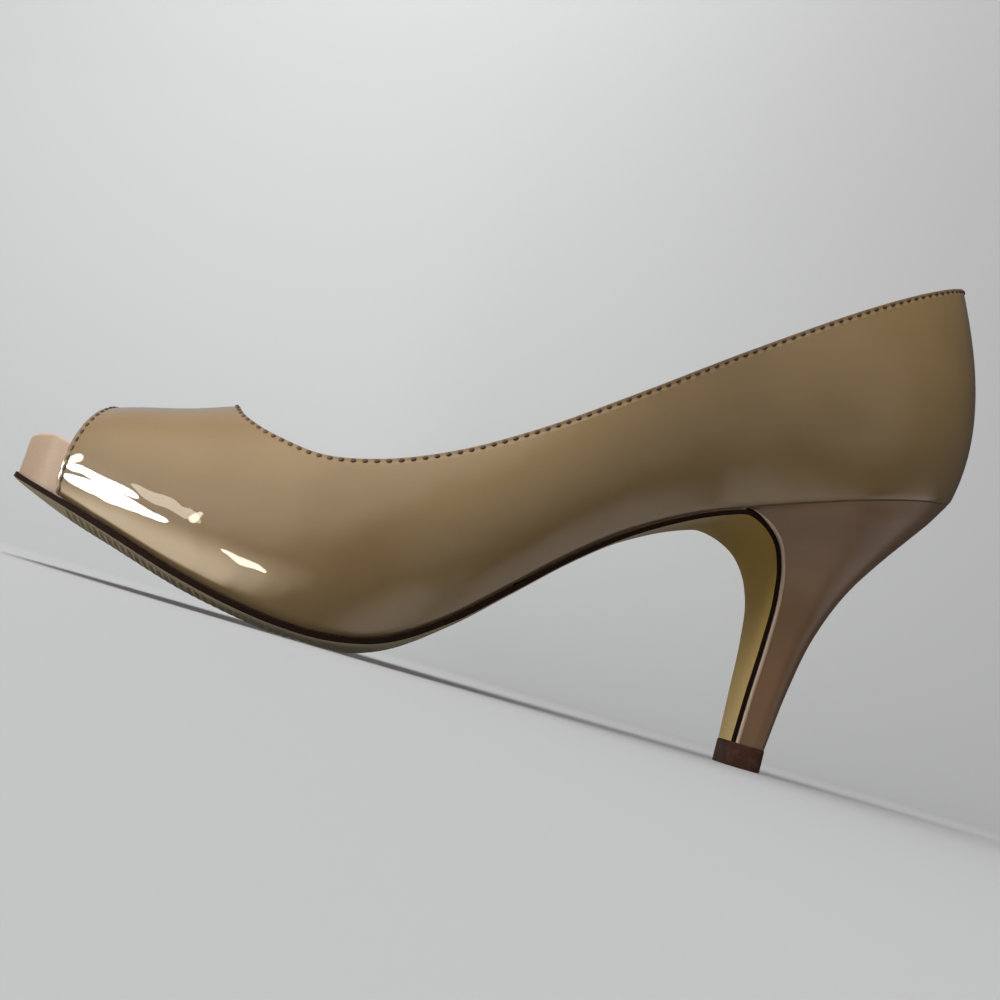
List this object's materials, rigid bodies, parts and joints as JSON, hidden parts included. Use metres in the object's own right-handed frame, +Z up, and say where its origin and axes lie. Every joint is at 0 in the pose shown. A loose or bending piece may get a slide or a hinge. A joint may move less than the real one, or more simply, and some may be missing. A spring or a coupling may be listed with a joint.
{
  "type": "open-toe pump",
  "caption": "Open-toe platform pump for a left foot: hollow patent upper, footbed, ribbed sole that wraps the breast of a slim covered heel, and a dark heel tip.",
  "frame": {"origin": "middle of the shoe's box in plan, on the floor it stands on", "axes": "+X from the toe to the heel, +Y to the inner (medial) side, +Z up"},
  "size_m": [0.2364, 0.0792, 0.1412],
  "materials": {
    "patent": "glossy patent",
    "sock": "matte",
    "platform_cover": "satin",
    "outsole": "satin",
    "heel_cover": "semi-gloss",
    "heel_tip": "matte"
  },
  "bodies": {
    "root": {"upper": "patent", "insole": "sock", "platform": "platform_cover", "outsole": "outsole", "heel": "heel_cover", "top_piece": "heel_tip"}
  },
  "joints": []
}
